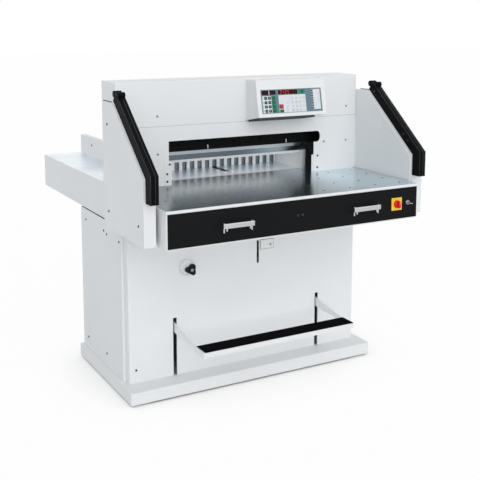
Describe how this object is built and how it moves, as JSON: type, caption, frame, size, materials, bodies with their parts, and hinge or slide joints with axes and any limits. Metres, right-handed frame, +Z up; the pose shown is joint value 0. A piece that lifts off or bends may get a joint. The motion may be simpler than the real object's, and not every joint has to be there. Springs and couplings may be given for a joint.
{
  "type": "paper cutter",
  "caption": "Free-standing electric stack cutter for paper with front and rear tables, side wings with light guards, a slanting knife, clamp, treadle and driven back gauge.",
  "frame": {"origin": "on the floor, under the middle of the machine's width and length", "axes": "+Z up, +Y from the operator's side to the back, +X to the operator's right"},
  "size_m": [1.33, 1.623, 1.346],
  "materials": {
    "white_cover_paint": "smooth semi-gloss",
    "table_steel": "ground and polished",
    "machined_steel": "turned",
    "blade_steel": "ground",
    "gauge_white": "semi-gloss",
    "bright_metal": "bright",
    "screw_zinc": "zinc",
    "black_steel": "satin",
    "black_profile": "satin",
    "cast_frame": "painted cast",
    "motor_grey": "satin",
    "keypad_foil": "printed foil",
    "switch_yellow": "moulded",
    "switch_red": "moulded",
    "lamp_plastic": "moulded",
    "gland_black": "moulded",
    "stick_plastic": "extruded",
    "mat_rubber": "ribbed"
  },
  "bodies": {
    "machine": {"air_valves": "machined_steel", "base_plinth": "white_cover_paint", "bridge_beam": "cast_frame", "bridge_guides": "machined_steel", "clamp_hydraulics": "machined_steel", "console_housing": "white_cover_paint", "control_box": "motor_grey", "cover_screws": "screw_zinc", "cutting_stick": "stick_plastic", "depth_dial": "white_cover_paint", "fascia_panel": "black_steel", "front_cover": "white_cover_paint", "front_table": "table_steel", "gauge_end_plates": "machined_steel", "gauge_guide_rods": "machined_steel", "gauge_motor": "motor_grey", "hood_rear_cover": "white_cover_paint", "key_switch": "bright_metal", "keypad_panel": "keypad_foil", "knife_gear_motor": "motor_grey", "levelling_feet": "machined_steel", "light_guards": "black_profile", "lower_hood_cover": "white_cover_paint", "machine_frames": "cast_frame", "main_switch_plate": "switch_yellow", "mains_inlet": "gland_black", "opening_bracket": "white_cover_paint", "opening_cheeks": "black_steel", "pilot_lamps": "lamp_plastic", "rear_cover": "white_cover_paint", "rear_table": "white_cover_paint", "rear_table_skirt": "white_cover_paint", "side_covers": "white_cover_paint", "side_lays": "white_cover_paint", "side_wings": "white_cover_paint", "stick_bed": "machined_steel", "table_apron": "white_cover_paint", "treadle_bearings": "machined_steel", "trigger_brackets": "bright_metal", "upper_hood_cover": "white_cover_paint"},
    "clamp": {"clamp_beam": "gauge_white", "clamp_rods": "machined_steel", "clamp_yokes": "machined_steel"},
    "treadle": {"treadle_frame": "white_cover_paint", "treadle_mat": "mat_rubber", "treadle_shaft": "machined_steel"},
    "knife": {"knife_beam": "black_steel", "knife_blade": "blade_steel", "knife_bolts": "screw_zinc", "knife_pull_rod": "machined_steel"},
    "crank": {"knife_crank": "machined_steel"},
    "gauge": {"back_gauge": "gauge_white", "gauge_carriage": "machined_steel"},
    "gauge_screw": {"lead_screw": "machined_steel"},
    "depth_knob": {"star_knob": "black_profile"},
    "door": {"access_door": "white_cover_paint"},
    "switch_knob": {"main_switch_knob": "switch_red"},
    "key": {"switch_key": "bright_metal"},
    "left_trigger": {"trigger_bar_left": "bright_metal"},
    "right_trigger": {"trigger_bar_right": "bright_metal"}
  },
  "joints": [
    {"name": "clamp_slide", "type": "slide", "parent": "machine", "child": "clamp", "axis": [0, 0, -1], "range_m": [0, 0.0775], "stiffness_N_per_m": 2500, "springref_m": -0.32},
    {"name": "treadle_hinge", "type": "hinge", "parent": "machine", "child": "treadle", "pos_m": [0, 0.1205, 0.335], "axis": [1, 0, 0], "range_deg": [0, 16]},
    {"name": "knife_slide", "type": "slide", "parent": "machine", "child": "knife", "axis": [-0.3169, 0, -0.9485], "range_m": [0, 0.09468]},
    {"name": "crank_spin", "type": "hinge", "parent": "machine", "child": "crank", "pos_m": [0.415, -0.2025, 0.5201], "axis": [0, 1, 0], "range_deg": [0, 180.2]},
    {"name": "gauge_slide", "type": "slide", "parent": "machine", "child": "gauge", "axis": [0, 1, 0], "range_m": [-0.18, 0.485]},
    {"name": "gauge_screw_spin", "type": "hinge", "parent": "machine", "child": "gauge_screw", "pos_m": [0.014, 0.2205, 0.85], "axis": [0, 1, 0], "continuous": true},
    {"name": "depth_knob_turn", "type": "hinge", "parent": "machine", "child": "depth_knob", "pos_m": [-0.309, -0.3795, 0.54], "axis": [0, 1, 0], "range_deg": [0, 300]},
    {"name": "door_hinge", "type": "hinge", "parent": "machine", "child": "door", "pos_m": [0.063, -0.3425, 0.592], "axis": [0, 0, -1], "range_deg": [0, 110]},
    {"name": "switch_turn", "type": "hinge", "parent": "machine", "child": "switch_knob", "pos_m": [0.479, -0.7895, 0.82], "axis": [0, 1, 0], "range_deg": [0, 90]},
    {"name": "key_turn", "type": "hinge", "parent": "machine", "child": "key", "pos_m": [0.54, -0.7895, 0.821], "axis": [0, 1, 0], "range_deg": [0, 90]},
    {"name": "left_trigger_hinge", "type": "hinge", "parent": "machine", "child": "left_trigger", "pos_m": [-0.3045, -0.7955, 0.8155], "axis": [1, 0, 0], "range_deg": [0, 15], "stiffness_Nm_per_rad": 1.5, "springref_deg": -17.19},
    {"name": "right_trigger_hinge", "type": "hinge", "parent": "machine", "child": "right_trigger", "pos_m": [0.3045, -0.7955, 0.8155], "axis": [1, 0, 0], "range_deg": [0, 15], "stiffness_Nm_per_rad": 1.5, "springref_deg": -17.19}
  ],
  "couplings": [
    {"joint": "treadle_hinge", "follows": "clamp_slide", "rad_per_m": 3.6029},
    {"joint": "crank_spin", "follows": "knife_slide", "rad_per_m": 33.182},
    {"joint": "gauge_screw_spin", "follows": "gauge_slide", "rad_per_m": 314.16}
  ]
}
